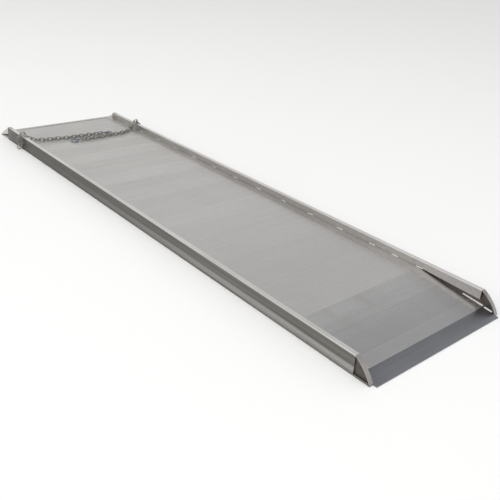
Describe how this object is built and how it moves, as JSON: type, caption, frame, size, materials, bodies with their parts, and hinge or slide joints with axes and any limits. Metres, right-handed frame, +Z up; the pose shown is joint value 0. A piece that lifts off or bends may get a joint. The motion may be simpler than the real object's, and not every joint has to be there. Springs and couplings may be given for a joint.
{
  "type": "loading ramp",
  "caption": "Long flat aluminium loading ramp with ribbed deck planks, raised side curbs, a knife-edge toe, a sloping overlap lip and safety chains that end in snap hooks.",
  "frame": {"origin": "on the floor under the middle of the ramp", "axes": "+X along the ramp towards the knife edge at the ground end, +Y across it to the right curb, +Z up"},
  "size_m": [2.97, 0.7714, 0.0986],
  "materials": {
    "deck_aluminium": "mill finish, fine ribs",
    "rail_aluminium": "mill finish",
    "weld_aluminium": "bright rippled bead",
    "chain_steel": "zinc plated, yellowish",
    "hook_steel": "zinc plated, satin",
    "fastener_steel": "zinc plated"
  },
  "bodies": {
    "ramp": {"anchor_lock_nuts": "fastener_steel", "anchor_washers": "fastener_steel", "approach_plank_1": "deck_aluminium", "approach_plank_2": "deck_aluminium", "approach_plank_3": "deck_aluminium", "curb_weld_beads": "weld_aluminium", "deck_plank_01": "deck_aluminium", "deck_plank_02": "deck_aluminium", "deck_plank_03": "deck_aluminium", "deck_plank_04": "deck_aluminium", "deck_plank_05": "deck_aluminium", "deck_plank_06": "deck_aluminium", "deck_plank_07": "deck_aluminium", "deck_plank_08": "deck_aluminium", "deck_plank_09": "deck_aluminium", "deck_plank_10": "deck_aluminium", "deck_plank_11": "deck_aluminium", "deck_plank_12": "deck_aluminium", "deck_plank_13": "deck_aluminium", "deck_plank_14": "deck_aluminium", "deck_plank_15": "deck_aluminium", "deck_plank_16": "deck_aluminium", "deck_plank_17": "deck_aluminium", "deck_plank_18": "deck_aluminium", "deck_plank_19": "deck_aluminium", "deck_plank_20": "deck_aluminium", "deck_plank_21": "deck_aluminium", "eye_bolts": "fastener_steel", "knife_edge_plank": "deck_aluminium", "left_approach_strip": "rail_aluminium", "left_lip_gusset": "rail_aluminium", "left_nose_cap": "rail_aluminium", "left_nose_web": "rail_aluminium", "left_rail": "rail_aluminium", "left_side_channel": "rail_aluminium", "nose_weld_beads": "weld_aluminium", "overlap_lip": "rail_aluminium", "right_approach_strip": "rail_aluminium", "right_lip_gusset": "rail_aluminium", "right_nose_cap": "rail_aluminium", "right_nose_web": "rail_aluminium", "right_rail": "rail_aluminium", "right_side_channel": "rail_aluminium"},
    "left_drop": {"left_chain_drop": "chain_steel"},
    "left_run_1": {"left_chain_run_1": "chain_steel"},
    "left_run_2": {"left_chain_run_2": "chain_steel"},
    "left_run_3": {"left_chain_run_3": "chain_steel"},
    "left_hook": {"left_hook_body": "hook_steel", "left_latch_pin": "hook_steel", "left_latch_spring": "hook_steel"},
    "left_latch": {"left_hook_latch": "hook_steel"},
    "right_drop": {"right_chain_drop": "chain_steel"},
    "right_run_1": {"right_chain_run_1": "chain_steel"},
    "right_run_2": {"right_chain_run_2": "chain_steel"},
    "right_run_3": {"right_chain_run_3": "chain_steel"},
    "right_hook": {"right_hook_body": "hook_steel", "right_latch_pin": "hook_steel", "right_latch_spring": "hook_steel"},
    "right_latch": {"right_hook_latch": "hook_steel"}
  },
  "joints": [
    {"name": "left_chain_swing", "type": "hinge", "parent": "ramp", "child": "left_drop", "pos_m": [-1.165, -0.3721, 0.0137], "axis": [0, 0, 1], "range_deg": [0, 5]},
    {"name": "left_chain_lift", "type": "hinge", "parent": "left_drop", "child": "left_run_1", "pos_m": [-1.163, -0.3544, 0.088], "axis": [1, 0, 0], "range_deg": [0, 100]},
    {"name": "left_chain_bend_1", "type": "hinge", "parent": "left_run_1", "child": "left_run_2", "pos_m": [-1.10457, -0.22088, 0.05303], "axis": [0, 0, 1], "range_deg": [0, 24]},
    {"name": "left_chain_bend_2", "type": "hinge", "parent": "left_run_2", "child": "left_run_3", "pos_m": [-1.08121, -0.08345, 0.05302], "axis": [0, 0, 1], "range_deg": [0, 24]},
    {"name": "left_hook_lift", "type": "hinge", "parent": "left_run_3", "child": "left_hook", "pos_m": [-1.06422, 0.09803, 0.0547], "axis": [0.9306, -0.1333, -0.3409], "range_deg": [0, 60]},
    {"name": "left_latch_turn", "type": "hinge", "parent": "left_hook", "child": "left_latch", "pos_m": [-1.05388, 0.12544, 0.05235], "axis": [0.0092, 0.082, 0.9966], "range_deg": [0, 38], "stiffness_Nm_per_rad": 0.005, "springref_deg": -22.92},
    {"name": "right_chain_swing", "type": "hinge", "parent": "ramp", "child": "right_drop", "pos_m": [-1.085, 0.3721, 0.0137], "axis": [0, 0, 1], "range_deg": [0, 5]},
    {"name": "right_chain_lift", "type": "hinge", "parent": "right_drop", "child": "right_run_1", "pos_m": [-1.083, 0.3544, 0.088], "axis": [-1, 0, 0], "range_deg": [0, 100]},
    {"name": "right_chain_bend_1", "type": "hinge", "parent": "right_run_1", "child": "right_run_2", "pos_m": [-1.01846, 0.22414, 0.05303], "axis": [0, 0, 1], "range_deg": [0, 24]},
    {"name": "right_chain_bend_2", "type": "hinge", "parent": "right_run_2", "child": "right_run_3", "pos_m": [-1.00428, 0.08576, 0.05302], "axis": [0, 0, 1], "range_deg": [0, 24]},
    {"name": "right_hook_lift", "type": "hinge", "parent": "right_run_3", "child": "right_hook", "pos_m": [-1.00909, -0.04929, 0.0547], "axis": [-0.938, 0.0627, 0.3409], "range_deg": [0, 60]},
    {"name": "right_latch_turn", "type": "hinge", "parent": "right_hook", "child": "right_latch", "pos_m": [-1.019, -0.07686, 0.05235], "axis": [-0.008, -0.0821, 0.9966], "range_deg": [0, 38], "stiffness_Nm_per_rad": 0.005, "springref_deg": -22.92}
  ]
}
